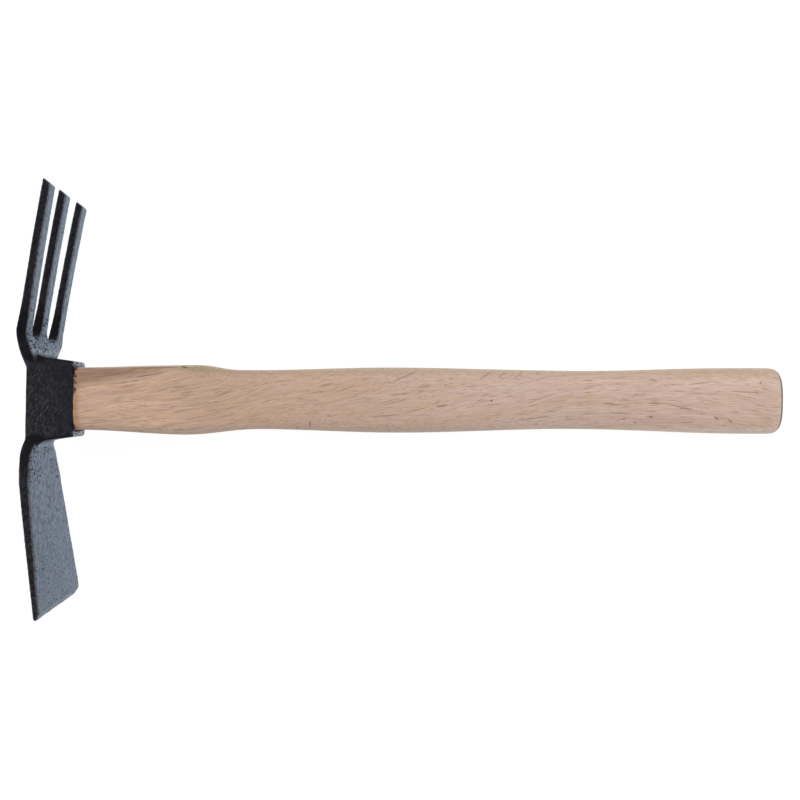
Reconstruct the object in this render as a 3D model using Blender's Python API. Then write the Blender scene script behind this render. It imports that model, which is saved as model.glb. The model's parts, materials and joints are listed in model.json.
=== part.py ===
"""Pick hoe: a forged steel head with a hoe blade and three tines, wedged onto a short hardwood handle.

The tool is drawn in its own frame, in metres. X runs along the handle, from the back of the head to the butt.
Y runs along the head, from the blade to the tines. Z runs across the head's width. It is then laid on its
side on the ground, where it rests on a side of the blade, a side of the fork and the butt, with +Z up.
"""

import math

import bmesh
import bpy
from mathutils import Matrix, Vector

# Fit
SEAT_GAP = 0.0003
CUT_MARGIN = 0.003

# Eye of the head: the rectangular socket that holds the handle
EYE_LENGTH = 0.0218
EYE_BACK_HEIGHT = 0.0434
EYE_MOUTH_HEIGHT = 0.0373
EYE_BACK_DEPTH_BY_BLADE = 0.0290
EYE_BACK_DEPTH_BY_TINES = 0.0253
EYE_MOUTH_DEPTH = 0.0192
EYE_CORNER_RADIUS = 0.0018
EYE_HOLE_MOUTH_HEIGHT = 0.0316
EYE_HOLE_MOUTH_DEPTH = 0.0146
EYE_HOLE_BACK_HEIGHT = 0.0334
EYE_HOLE_BACK_DEPTH = 0.0170
EYE_HOLE_CORNER_RADIUS = 0.0022

# Plate that carries the eye, the blade and the tines
PLATE_THICKNESS = 0.0051
EDGE_ROUNDING = 0.0006

# Blade
BLADE_REACH = 0.1041
BLADE_EDGE_WIDTH = 0.0612
BLADE_TOP_WIDTH = 0.0415
BLADE_SIDE_BOW = 0.0004
BLADE_EDGE_THICKNESS = 0.0030
BLADE_RAKE = math.radians(9.2)
BLADE_BEND_AT = 0.0391
BLADE_BEND_RADIUS = 0.090
BLADE_NEAR_SHOULDER_START = 0.0175
BLADE_NEAR_SHOULDER_END = 0.0291
BLADE_FAR_SHOULDER_START = 0.0175
BLADE_FAR_SHOULDER_END = 0.0420
BLADE_NEAR_SHOULDER_FULLNESS = 1.0
BLADE_FAR_SHOULDER_FULLNESS = 1.4
BLADE_NECK_WIDTH = 0.0234
BLADE_CORNER_RADIUS = 0.0070
BLADE_POINT_RADIUS = 0.0014
BLADE_BEVEL_LENGTH = 0.0034
BLADE_BEVEL_LAND = 0.0014
BLADE_NEAR_FILLET = 0.0045
BLADE_FAR_FILLET = 0.0015
BLADE_EDGE_SKEW = 0.0011
BLADE_SKEW_POWER = 4

# Palm and tines
TINE_REACH = 0.1043
TINE_WIDTH = 0.0075
TINE_ROOT_WIDTH = 0.0083
TINE_THICKNESS = 0.0043
TINE_ROOT_RAKE = math.radians(8.4)
TINE_TIP_RAKE = math.radians(10.7)
TINE_RAKE_START = 0.0325
TINE_THINNING_END = 0.0460
TINE_TIP_CUT = 0.0031
FORK_ROOT_WIDTH = 0.0518
FORK_TIP_WIDTH = 0.0562
MIDDLE_TINE_OFFSET = 0.0022
PALM_NECK_WIDTH = 0.0230
PALM_SHOULDER_START = 0.0140
PALM_SHOULDER_END = 0.0325
PALM_FILLET = 0.0025
SLOT_BOTTOM = 0.0290
SLOT_CORNER_RADIUS = 0.0055

# Handle
HANDLE_END = 0.3782
HANDLE_SHOULDER_HEIGHT = 0.0313
HANDLE_SWELL_HEIGHT = 0.0350
HANDLE_WAIST_HEIGHT = 0.0298
HANDLE_BELLY_HEIGHT = 0.0334
HANDLE_GRIP_HEIGHT = 0.0300
HANDLE_BUTT_HEIGHT = 0.0343
HANDLE_SWELL_AT = 0.0770
HANDLE_WAIST_AT = 0.1090
HANDLE_BELLY_AT = 0.1780
HANDLE_GRIP_AT = 0.2700
HANDLE_BUTT_AT = 0.3640
HANDLE_SHOULDER_DEPTH = 0.0192
HANDLE_SWELL_DEPTH = 0.0218
HANDLE_WAIST_DEPTH = 0.0212
HANDLE_BELLY_DEPTH = 0.0230
HANDLE_GRIP_DEPTH = 0.0214
HANDLE_BUTT_DEPTH = 0.0232
HANDLE_HEAD_SQUARENESS = 5.0
HANDLE_GRIP_SQUARENESS = 2.6
HANDLE_END_ROUNDING = 0.0043
HANDLE_SHOULDER_RISE = 0.0003
HANDLE_SWELL_RISE = -0.0003
HANDLE_GRIP_RISE = 0.0004
HANDLE_BUTT_RISE = 0.0002
TENON_PROUD = 0.0004

# Wedges
WOOD_WEDGE_THICKNESS = 0.0046
WOOD_WEDGE_TIP_THICKNESS = 0.0014
WOOD_WEDGE_DEPTH = 0.0165
KERF_DEPTH = 0.0185
STEEL_WEDGE_WIDTH = 0.0100
STEEL_WEDGE_THICKNESS = 0.0024
STEEL_WEDGE_TIP_THICKNESS = 0.0006
STEEL_WEDGE_DEPTH = 0.0120
STEEL_WEDGE_SPACING = 0.0150

# Fineness of the surfaces
HEAD_STEP = 0.0040
SHOULDER_STEP = 0.0012
HANDLE_STEP = 0.0080
STEP_TOLERANCE = 1e-9
HANDLE_SIDES = 32
CORNER_SIDES = 4
ROUNDING_SIDES = 2
ROUNDED_EDGE_ANGLE = math.radians(38)
SHARP_SHADING_ANGLE = math.radians(40)

# Colours
PAINTED_STEEL = (0.016, 0.016, 0.018, 1.0)
PALE_HARDWOOD = (0.56, 0.36, 0.23, 1.0)
WEDGE_WOOD = (0.45, 0.27, 0.15, 1.0)
BARE_STEEL = (0.32, 0.31, 0.30, 1.0)


def clear_scene():
    for item in list(bpy.data.objects):
        bpy.data.objects.remove(item, do_unlink=True)


def make_material(name, colour, roughness, metallic):
    """A Principled BSDF with one colour."""
    material = bpy.data.materials.new(name)
    material.use_nodes = True
    shader = material.node_tree.nodes["Principled BSDF"]
    shader.inputs["Base Color"].default_value = colour
    shader.inputs["Roughness"].default_value = roughness
    shader.inputs["Metallic"].default_value = metallic
    return material


def blend(low, high, share):
    return low + (high - low) * share


def steps_between(low, high, step):
    """Even places from low to high, both included, no further apart than step."""
    count = max(1, math.ceil((high - low) / step - STEP_TOLERANCE))
    return [blend(low, high, index / count) for index in range(count + 1)]


def arc_distances(radius, sides=CORNER_SIDES):
    """Distances from a wall of the points that divide a quarter arc evenly, from 0 to the radius."""
    return [radius * (1 - math.cos(step / sides * math.pi / 2)) for step in range(sides + 1)]


def bend_height(distance, angle, radius):
    """Rise of a straight strip that bends by an angle, against the distance past the bend's middle."""
    reach = radius * math.tan(angle / 2)
    if distance <= -reach:
        return 0.0
    if distance >= radius * math.sin(angle) - reach:
        return distance * math.tan(angle)
    along = distance + reach
    return radius - math.sqrt(radius * radius - along * along)


def shoulder_share(place, start, end, fullness):
    """How far a shoulder has grown from its neck to its full width, from 0 to 1."""
    share = min(max((place - start) / (end - start), 0.0), 1.0)
    return math.sin(share * math.pi / 2) ** fullness


def fillet_rise(distance, radius):
    """Height of a concave fillet over a flat, at a distance from the wall that it runs up."""
    if distance >= radius:
        return 0.0
    inside = radius - max(distance, 0.0)
    return radius - math.sqrt(radius * radius - inside * inside)


def eye_half_height(x):
    """Outer half height of the eye, which narrows from its back to its mouth."""
    return blend(EYE_BACK_HEIGHT, EYE_MOUTH_HEIGHT, x / EYE_LENGTH) / 2


def blade_flare(reach):
    """Half width of the blade below its shoulders, at a distance from the handle's axis."""
    span = BLADE_REACH - BLADE_NEAR_SHOULDER_END
    share = min(max((reach - BLADE_NEAR_SHOULDER_END) / span, 0.0), 1.0)
    bow = BLADE_SIDE_BOW * math.sin(share * math.pi)
    return blend(BLADE_TOP_WIDTH, BLADE_EDGE_WIDTH, share) / 2 + bow


def blade_side(reach, start, end, fullness, corner_radius):
    """Half width of one side of the blade, with its shoulder above and its rounded corner below."""
    share = shoulder_share(reach, start, end, fullness)
    width = blend(BLADE_NECK_WIDTH / 2, blade_flare(reach), share)
    above_edge = BLADE_REACH - reach
    if above_edge < corner_radius:
        width -= fillet_rise(above_edge, corner_radius)
    return width


def blade_near_side(reach):
    return blade_side(
        reach,
        BLADE_NEAR_SHOULDER_START,
        BLADE_NEAR_SHOULDER_END,
        BLADE_NEAR_SHOULDER_FULLNESS,
        BLADE_POINT_RADIUS,
    )


def blade_far_side(reach):
    return blade_side(
        reach,
        BLADE_FAR_SHOULDER_START,
        BLADE_FAR_SHOULDER_END,
        BLADE_FAR_SHOULDER_FULLNESS,
        BLADE_CORNER_RADIUS,
    )


def fork_side(reach):
    """Half width of the palm and, further out, the outer side of the outer tines."""
    spread = (reach - PALM_SHOULDER_END) / (TINE_REACH - PALM_SHOULDER_END)
    full = blend(FORK_ROOT_WIDTH, FORK_TIP_WIDTH, max(spread, 0.0)) / 2
    share = shoulder_share(reach, PALM_SHOULDER_START, PALM_SHOULDER_END, 1.0)
    return blend(PALM_NECK_WIDTH / 2, full, share)


def blade_back(reach):
    return bend_height(reach - BLADE_BEND_AT, BLADE_RAKE, BLADE_BEND_RADIUS)


def blade_thickness(reach):
    share = max((reach - BLADE_BEND_AT) / (BLADE_REACH - BLADE_BEND_AT), 0.0)
    return blend(PLATE_THICKNESS, BLADE_EDGE_THICKNESS, share)


def blade_front(reach):
    return blade_back(reach) + blade_thickness(reach)


def fork_front(reach):
    """Inner face of the palm and the tines: flat at the palm, then a shallow arc towards the handle."""
    past = max(reach - TINE_RAKE_START, 0.0)
    root_slope = math.tan(TINE_ROOT_RAKE)
    tip_slope = math.tan(TINE_TIP_RAKE)
    curve = (tip_slope - root_slope) / (2 * (TINE_REACH - TINE_RAKE_START))
    return PLATE_THICKNESS + root_slope * past + curve * past * past


def fork_back(reach):
    """Outer face of the palm and the tines, which thin from the palm to the tine."""
    share = (reach - TINE_RAKE_START) / (TINE_THINNING_END - TINE_RAKE_START)
    thickness = blend(PLATE_THICKNESS, TINE_THICKNESS, min(max(share, 0.0), 1.0))
    return fork_front(reach) - thickness


def new_object(name, bm, material):
    """A mesh object from a bmesh whose faces are turned outwards."""
    bmesh.ops.recalc_face_normals(bm, faces=bm.faces)
    mesh = bpy.data.meshes.new(name)
    bm.to_mesh(mesh)
    bm.free()
    if material is not None:
        mesh.materials.append(material)
    made = bpy.data.objects.new(name, mesh)
    bpy.context.collection.objects.link(made)
    return made


def loft(name, rings, material=None):
    """A closed solid through rings of equally many points, made by extruding an end face from ring to ring."""
    bm = bmesh.new()
    start = end = bm.faces.new([bm.verts.new(point) for point in rings[0]])
    for ring in rings[1:]:
        grown = bmesh.ops.extrude_face_region(bm, geom=[end])["geom"]
        if end is not start:
            bmesh.ops.delete(bm, geom=[end], context="FACES_ONLY")
        end = next(item for item in grown if isinstance(item, bmesh.types.BMFace))
        for corner, point in zip(end.verts, ring):
            corner.co = point
    return new_object(name, bm, material)


def extrusion(name, outline, offset):
    """A prism: an outline of points, pushed along an offset."""
    bm = bmesh.new()
    start = bm.faces.new([bm.verts.new(point) for point in outline])
    grown = bmesh.ops.extrude_face_region(bm, geom=[start])["geom"]
    moved = [item for item in grown if isinstance(item, bmesh.types.BMVert)]
    bmesh.ops.translate(bm, verts=moved, vec=offset)
    return new_object(name, bm, None)


def rounded_rectangle(height, depth, radius, sides=CORNER_SIDES):
    """Corner arcs of a rectangle in Y and Z about the X axis, as (y, z) pairs."""
    points = []
    for index, (side_y, side_z) in enumerate(((1, 1), (-1, 1), (-1, -1), (1, -1))):
        centre_y = side_y * (height / 2 - radius)
        centre_z = side_z * (depth / 2 - radius)
        for step in range(sides + 1):
            angle = (index + step / sides) * math.pi / 2
            y = centre_y + radius * math.cos(angle)
            points.append((y, centre_z + radius * math.sin(angle)))
    return points


def superellipse(height, depth, squareness):
    """An oval in Y and Z that grows squarer with its exponent, as (y, z) pairs."""
    points = []
    for index in range(HANDLE_SIDES):
        angle = 2 * math.pi * (index + 0.5) / HANDLE_SIDES
        across = math.copysign(abs(math.cos(angle)) ** (2 / squareness), math.cos(angle))
        upward = math.copysign(abs(math.sin(angle)) ** (2 / squareness), math.sin(angle))
        points.append((across * height / 2, upward * depth / 2))
    return points


def ring_at(x, section, rise=0.0):
    return [(x, y + rise, z) for y, z in section]


def cutter(made):
    """Marks a solid as one that only cuts."""
    made.hide_render = True
    made.display_type = "WIRE"
    return made


def boolean(target, other, operation):
    modifier = target.modifiers.new(operation.lower() + "_" + other.name, "BOOLEAN")
    modifier.object = other
    modifier.operation = operation
    modifier.solver = "EXACT"


def round_edges(target):
    """Rounds every edge that turns sharply."""
    rounding = target.modifiers.new("edge_rounding", "BEVEL")
    rounding.width = EDGE_ROUNDING
    rounding.segments = ROUNDING_SIDES
    rounding.limit_method = "ANGLE"
    rounding.angle_limit = ROUNDED_EDGE_ANGLE
    rounding.use_clamp_overlap = False


def blade_ring(reach):
    """Four corners of the blade at a distance from the handle's axis, thinned where its edge is ground."""
    back = blade_back(reach)
    above_edge = BLADE_REACH - reach
    ground = back + blend(BLADE_BEVEL_LAND, blade_thickness(reach), above_edge / BLADE_BEVEL_LENGTH)
    front = min(blade_front(reach), ground)
    far_reach = reach - BLADE_EDGE_SKEW * (reach / BLADE_REACH) ** BLADE_SKEW_POWER
    return [
        (back, -far_reach, -blade_far_side(reach)),
        (front, -far_reach, -blade_far_side(reach)),
        (front, -reach, blade_near_side(reach)),
        (back, -reach, blade_near_side(reach)),
    ]


def blade_rings():
    """Rings from the cutting edge, with its two corners and its ground bevel, up to the neck."""
    above_edge = set(arc_distances(BLADE_CORNER_RADIUS) + arc_distances(BLADE_POINT_RADIUS, 2))
    above_edge.add(BLADE_BEVEL_LENGTH)
    reaches = [BLADE_REACH - distance for distance in above_edge]
    corner_start = BLADE_REACH - BLADE_CORNER_RADIUS
    reaches += steps_between(BLADE_FAR_SHOULDER_END, corner_start, HEAD_STEP)[:-1]
    reaches += steps_between(BLADE_NEAR_SHOULDER_START, BLADE_FAR_SHOULDER_END, SHOULDER_STEP)[:-1]
    return [blade_ring(reach) for reach in sorted(reaches, reverse=True)]


def fork_ring(reach, cut):
    """Four corners of the fork at a reach, whose inner face ends short by a cut."""
    side = fork_side(reach)
    back = fork_back(reach)
    inner_reach = reach - cut
    front = fork_front(inner_reach)
    return [
        (back, reach, -side),
        (front, inner_reach, -side),
        (front, inner_reach, side),
        (back, reach, side),
    ]


def fork_rings():
    """Rings from the neck out to the slanted tips of the tines."""
    reaches = steps_between(PALM_SHOULDER_START, PALM_SHOULDER_END, SHOULDER_STEP)
    reaches += steps_between(PALM_SHOULDER_END, TINE_REACH - TINE_TIP_CUT - HEAD_STEP, HEAD_STEP)[1:]
    return [fork_ring(reach, 0.0) for reach in reaches] + [fork_ring(TINE_REACH, TINE_TIP_CUT)]


def slot_cutter(name, low_root, low_tip, high_root, high_tip):
    """The gap between two tines, from its rounded bottom to past the tips, as a prism along X.

    low and high are the two sides' places on Z, at the slot's bottom and at the tips.
    """
    past_tip = TINE_REACH + CUT_MARGIN
    radius = min(SLOT_CORNER_RADIUS, (high_root - low_root) / 2 - SEAT_GAP)
    outline = [(past_tip, low_tip), (past_tip, high_tip)]
    for step in range(2 * CORNER_SIDES + 1):
        angle = step / (2 * CORNER_SIDES) * math.pi / 2
        outline.append(
            (SLOT_BOTTOM + radius * (1 - math.sin(angle)), high_root - radius * (1 - math.cos(angle)))
        )
    for step in range(2 * CORNER_SIDES + 1):
        angle = step / (2 * CORNER_SIDES) * math.pi / 2
        outline.append(
            (SLOT_BOTTOM + radius * (1 - math.cos(angle)), low_root + radius * (1 - math.sin(angle)))
        )
    start = -CUT_MARGIN
    reach = fork_front(TINE_REACH) + 2 * CUT_MARGIN
    return cutter(extrusion(name, [(start, y, z) for y, z in outline], (reach, 0, 0)))


def eye_ring(x):
    """Outline of the eye at x, drawn in at the rounded ends and flared where its fillets meet the plate.

    The eye is deeper by the blade than by the tines.
    """
    share = x / EYE_LENGTH
    inset = fillet_rise(min(x, EYE_LENGTH - x), EDGE_ROUNDING)
    height = 2 * (eye_half_height(x) - inset)
    by_blade = blend(EYE_BACK_DEPTH_BY_BLADE, EYE_MOUTH_DEPTH, share) - 2 * inset
    by_tines = blend(EYE_BACK_DEPTH_BY_TINES, EYE_MOUTH_DEPTH, share) - 2 * inset
    depth = (by_blade + by_tines) / 2
    above_plate = x - PLATE_THICKNESS
    palm_flare = fillet_rise(above_plate, PALM_FILLET)
    near_flare = fillet_rise(above_plate, BLADE_NEAR_FILLET)
    far_flare = fillet_rise(above_plate, BLADE_FAR_FILLET)
    section = []
    for y, z in rounded_rectangle(height, depth, EYE_CORNER_RADIUS - inset):
        flare = palm_flare if y > 0 else -blend(far_flare, near_flare, z / depth + 0.5)
        section.append((y + flare, z * blend(by_blade, by_tines, y / height + 0.5) / depth))
    return ring_at(x, section)


def eye_rings():
    """Rings of the eye from its back, through the fillets on the plate, to its mouth."""
    places = set(arc_distances(EDGE_ROUNDING, ROUNDING_SIDES))
    places.update([EYE_LENGTH - distance for distance in places])
    for radius in (BLADE_NEAR_FILLET, BLADE_FAR_FILLET, PALM_FILLET):
        places.update(PLATE_THICKNESS + distance for distance in arc_distances(radius))
    return [eye_ring(x) for x in sorted(places)]


def tine_gaps():
    """Cutters of the two gaps beside the middle tine."""
    root = fork_side(SLOT_BOTTOM + SLOT_CORNER_RADIUS) - TINE_ROOT_WIDTH
    tip = fork_side(TINE_REACH) - TINE_WIDTH
    near = [MIDDLE_TINE_OFFSET + width / 2 for width in (TINE_ROOT_WIDTH, TINE_WIDTH)]
    far = [MIDDLE_TINE_OFFSET - width / 2 for width in (TINE_ROOT_WIDTH, TINE_WIDTH)]
    return [slot_cutter("near_gap", *near, root, tip), slot_cutter("far_gap", -root, -tip, *far)]


def eye_hole():
    """Cutter of the tapered hole, which runs past both ends of the eye."""
    slope_height = (EYE_HOLE_BACK_HEIGHT - EYE_HOLE_MOUTH_HEIGHT) / EYE_LENGTH
    slope_depth = (EYE_HOLE_BACK_DEPTH - EYE_HOLE_MOUTH_DEPTH) / EYE_LENGTH
    rings = []
    for x in (-CUT_MARGIN, EYE_LENGTH + CUT_MARGIN):
        height = EYE_HOLE_BACK_HEIGHT - slope_height * x
        depth = EYE_HOLE_BACK_DEPTH - slope_depth * x
        rings.append(ring_at(x, rounded_rectangle(height, depth, EYE_HOLE_CORNER_RADIUS)))
    return cutter(loft("eye_hole", rings))


def build_head(material):
    """The forging: blade, palm and tines from one plate, the eye block joined to it, and its hole."""
    head = loft("forged_head", blade_rings() + fork_rings(), material)
    for gap in tine_gaps():
        boolean(head, gap, "DIFFERENCE")
    round_edges(head)
    boolean(head, cutter(loft("eye_block", eye_rings())), "UNION")
    boolean(head, eye_hole(), "DIFFERENCE")
    return head


def station_blend(stations, x):
    """Value at x of an even curve through (place, value) stations, level at each of them."""
    for (left, low), (right, high) in zip(stations, stations[1:]):
        if x <= right:
            share = min(max((x - left) / (right - left), 0.0), 1.0)
            return blend(low, high, share * share * (3 - 2 * share))
    return stations[-1][1]


def handle_section(x):
    """Height, depth, squareness and rise off the axis of the handle at a distance from the head's back."""
    start = EYE_LENGTH + SEAT_GAP
    places = (start, HANDLE_SWELL_AT, HANDLE_WAIST_AT, HANDLE_BELLY_AT, HANDLE_GRIP_AT, HANDLE_BUTT_AT)
    heights = (
        HANDLE_SHOULDER_HEIGHT,
        HANDLE_SWELL_HEIGHT,
        HANDLE_WAIST_HEIGHT,
        HANDLE_BELLY_HEIGHT,
        HANDLE_GRIP_HEIGHT,
        HANDLE_BUTT_HEIGHT,
    )
    depths = (
        HANDLE_SHOULDER_DEPTH,
        HANDLE_SWELL_DEPTH,
        HANDLE_WAIST_DEPTH,
        HANDLE_BELLY_DEPTH,
        HANDLE_GRIP_DEPTH,
        HANDLE_BUTT_DEPTH,
    )
    rises = (HANDLE_SHOULDER_RISE, HANDLE_SWELL_RISE, 0.0, 0.0, HANDLE_GRIP_RISE, HANDLE_BUTT_RISE)
    squareness = station_blend(
        ((start, HANDLE_HEAD_SQUARENESS), (HANDLE_BELLY_AT, HANDLE_GRIP_SQUARENESS)), x
    )
    height, depth, rise = (station_blend(list(zip(places, row)), x) for row in (heights, depths, rises))
    return height, depth, squareness, rise


def tenon_section(x):
    """Height and depth of the tenon, which follows the tapered hole with the seat gap all round."""
    share = x / EYE_LENGTH
    height = blend(EYE_HOLE_BACK_HEIGHT, EYE_HOLE_MOUTH_HEIGHT, share) - 2 * SEAT_GAP
    depth = blend(EYE_HOLE_BACK_DEPTH, EYE_HOLE_MOUTH_DEPTH, share) - 2 * SEAT_GAP
    return height, depth


def handle_rings():
    """Rings of the tenon, the shoulder, the body and the rounded butt."""
    start = EYE_LENGTH + SEAT_GAP
    rings = []
    for x in (-TENON_PROUD, start):
        height, depth = tenon_section(x)
        radius = EYE_HOLE_CORNER_RADIUS - SEAT_GAP
        rings.append(ring_at(x, rounded_rectangle(height, depth, radius, HANDLE_SIDES // 4 - 1)))
    body_end = HANDLE_END - HANDLE_END_ROUNDING
    for x in steps_between(start, body_end, HANDLE_STEP):
        height, depth, squareness, rise = handle_section(x)
        rings.append(ring_at(x, superellipse(height, depth, squareness), rise))
    for step in range(1, CORNER_SIDES + 1):
        angle = step / CORNER_SIDES * math.pi / 2
        inset = 2 * HANDLE_END_ROUNDING * (1 - math.cos(angle))
        x = body_end + HANDLE_END_ROUNDING * math.sin(angle)
        rings.append(ring_at(x, superellipse(height - inset, depth - inset, squareness), rise))
    return rings


def wedge_outline(thickness, tip_thickness, depth, gap, start):
    """Side view of a wedge as (x, across) pairs, grown all round by a gap and open at its thick end."""
    slope = (thickness - tip_thickness) / depth / 2
    thick = thickness / 2 + gap + slope * (-TENON_PROUD - start)
    thin = tip_thickness / 2 + gap
    end = depth - TENON_PROUD + gap
    return [(start, -thick), (end, -thin), (end, thin), (start, thick)]


def steel_wedge_solid(name, y, gap, start):
    """A steel wedge across the tenon at y, or the slot for it where it is grown by a gap."""
    side = wedge_outline(STEEL_WEDGE_THICKNESS, STEEL_WEDGE_TIP_THICKNESS, STEEL_WEDGE_DEPTH, gap, start)
    width = STEEL_WEDGE_WIDTH + 2 * gap
    return extrusion(name, [(x, y + across, -width / 2) for x, across in side], (0, 0, width))


def build_handle_and_wedges(wood, wedge_wood, steel):
    """The handle with its kerf, the wooden wedge in it and the two steel wedges across both."""
    handle = loft("handle", handle_rings(), wood)
    outside = -TENON_PROUD - CUT_MARGIN

    kerf_side = wedge_outline(
        WOOD_WEDGE_THICKNESS, WOOD_WEDGE_TIP_THICKNESS, WOOD_WEDGE_DEPTH, SEAT_GAP, outside
    )
    kerf_end = KERF_DEPTH - TENON_PROUD
    thin = kerf_side[1][1]
    kerf_side[1:3] = [kerf_side[1], (kerf_end, thin), (kerf_end, -thin), kerf_side[2]]
    reach = EYE_HOLE_BACK_HEIGHT / 2 + CUT_MARGIN
    kerf = extrusion("kerf", [(x, -reach, z) for x, z in kerf_side], (0, 2 * reach, 0))
    boolean(handle, cutter(kerf), "DIFFERENCE")

    wedge_side = wedge_outline(
        WOOD_WEDGE_THICKNESS, WOOD_WEDGE_TIP_THICKNESS, WOOD_WEDGE_DEPTH, 0.0, -TENON_PROUD
    )
    ends = []
    for sign in (-1, 1):
        ring = []
        for x, z in wedge_side:
            height, _ = tenon_section(x)
            ring.append((x, sign * height / 2, z))
        ends.append(ring)
    wood_wedge = loft("wood_wedge", ends, wedge_wood)

    made = [handle, wood_wedge]
    for name, side in (("upper", 1), ("lower", -1)):
        y = side * STEEL_WEDGE_SPACING / 2
        wedge = steel_wedge_solid("steel_wedge_" + name, y, 0.0, -TENON_PROUD)
        wedge.data.materials.append(steel)
        slot = cutter(steel_wedge_solid("slot_" + name, y, SEAT_GAP, outside))
        boolean(handle, slot, "DIFFERENCE")
        boolean(wood_wedge, slot, "DIFFERENCE")
        made.append(wedge)
    handle.data.shade_smooth()
    handle.data.set_sharp_from_angle(angle=SHARP_SHADING_ANGLE)
    return made


def resting_matrix():
    """Turn that brings the plane under the blade, the fork and the butt level, tines towards +Y."""
    corner = BLADE_REACH - BLADE_CORNER_RADIUS
    blade = Vector((blade_front(corner), -corner, -blade_far_side(corner)))
    tip = TINE_REACH - TINE_TIP_CUT
    fork = Vector((fork_front(tip), tip, -fork_side(tip)))
    butt = Vector((HANDLE_END - HANDLE_END_ROUNDING, 0.0, -HANDLE_BUTT_DEPTH / 2))
    up = (butt - blade).cross(fork - blade).normalized()
    along = Vector((1, 0, 0))
    along = (along - up * along.dot(up)).normalized()
    return Matrix((along, up.cross(along), up)).to_4x4()


def lay_down(made):
    """Parents all solids to one empty that lays the tool on the ground, centred over the origin."""
    ground = bpy.data.objects.new("pick_hoe", None)
    bpy.context.collection.objects.link(ground)
    for item in bpy.data.objects:
        if item.type == "MESH":
            item.parent = ground
    turn = resting_matrix()
    bpy.context.view_layer.update()
    graph = bpy.context.evaluated_depsgraph_get()
    points = []
    for item in made:
        mesh = item.evaluated_get(graph).to_mesh()
        points += [turn @ vertex.co for vertex in mesh.vertices]
    low = [min(point[axis] for point in points) for axis in range(3)]
    high = [max(point[axis] for point in points) for axis in range(3)]
    centre = Vector(((low[0] + high[0]) / 2, (low[1] + high[1]) / 2, low[2]))
    ground.matrix_world = Matrix.Translation(-centre) @ turn


def main():
    clear_scene()
    made = [build_head(make_material("painted_steel", PAINTED_STEEL, 0.42, 0.0))]
    made += build_handle_and_wedges(
        make_material("pale_hardwood", PALE_HARDWOOD, 0.62, 0.0),
        make_material("wedge_wood", WEDGE_WOOD, 0.7, 0.0),
        make_material("bare_steel", BARE_STEEL, 0.45, 1.0),
    )
    lay_down(made)


main()
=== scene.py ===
"""Looks of the pick hoe: a black painted forging, wedged onto a pale hardwood handle, on a white floor.

Every length is in metres. Each sub-assembly is a class that keeps its sizes, shapes its mesh and dresses it.
Each finish is a frozen dataclass that builds one procedural material, in the tool's own axes: X along the
handle from the back of the head, Y from the blade to the tines, Z across the head. A finish names the places
where it changes as ramps, and its patterns as effects, among its fields.
"""

import json
import logging
import math
from collections.abc import Callable, Iterable, Iterator
from contextlib import contextmanager
from dataclasses import dataclass, fields
from enum import Enum
from functools import cache, cached_property, reduce
from typing import ClassVar, NamedTuple

import bmesh
import bpy
from mathutils import Euler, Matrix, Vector, noise


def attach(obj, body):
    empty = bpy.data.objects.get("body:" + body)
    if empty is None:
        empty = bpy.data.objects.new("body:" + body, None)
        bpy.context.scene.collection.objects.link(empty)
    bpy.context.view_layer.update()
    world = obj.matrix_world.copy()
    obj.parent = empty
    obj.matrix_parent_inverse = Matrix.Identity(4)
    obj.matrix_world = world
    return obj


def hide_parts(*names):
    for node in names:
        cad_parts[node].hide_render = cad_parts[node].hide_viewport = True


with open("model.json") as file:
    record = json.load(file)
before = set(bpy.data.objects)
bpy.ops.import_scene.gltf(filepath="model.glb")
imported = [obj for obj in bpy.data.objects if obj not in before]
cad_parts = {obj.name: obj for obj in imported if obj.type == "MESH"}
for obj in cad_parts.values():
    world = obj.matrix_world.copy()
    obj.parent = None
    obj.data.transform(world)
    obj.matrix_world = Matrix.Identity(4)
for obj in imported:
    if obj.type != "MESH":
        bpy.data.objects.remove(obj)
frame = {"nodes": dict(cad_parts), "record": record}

LOG = logging.getLogger("pick_hoe")
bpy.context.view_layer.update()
BODY = "root"
MERGE_DISTANCE = 0.00001
ROUND_PROFILE = 0.5
ANY_MATERIAL = -1
SMOOTHING_FACTOR = 0.5
WHITE = (1.0, 1.0, 1.0)

# Distance of the handle's shoulder from the back of the head
SHOULDER = 0.0221

# Sockets of a Mix node that blends colours
MIX_SHARE, MIX_FIRST, MIX_SECOND, MIX_RESULT = 0, 6, 7, 2

Pair = tuple[float, float]
Triple = tuple[float, float, float]
Colour = Triple
Material = bpy.types.Material
Socket = bpy.types.NodeSocket
Tree = bpy.types.NodeTree


class Piece(Enum):
    """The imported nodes, each with the record's material slot that it is finished in."""

    FORGED_HEAD = ("forged_head", "painted_steel")
    HANDLE = ("handle", "pale_hardwood")
    WOOD_WEDGE = ("wood_wedge", "wedge_wood")
    STEEL_WEDGE_UPPER = ("steel_wedge_upper", "bare_steel")
    STEEL_WEDGE_LOWER = ("steel_wedge_lower", "bare_steel")

    @property
    def node(self) -> str:
        """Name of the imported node."""
        return self.value[0]

    @property
    def slot(self) -> str:
        """Name of the material slot."""
        return self.value[1]


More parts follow.
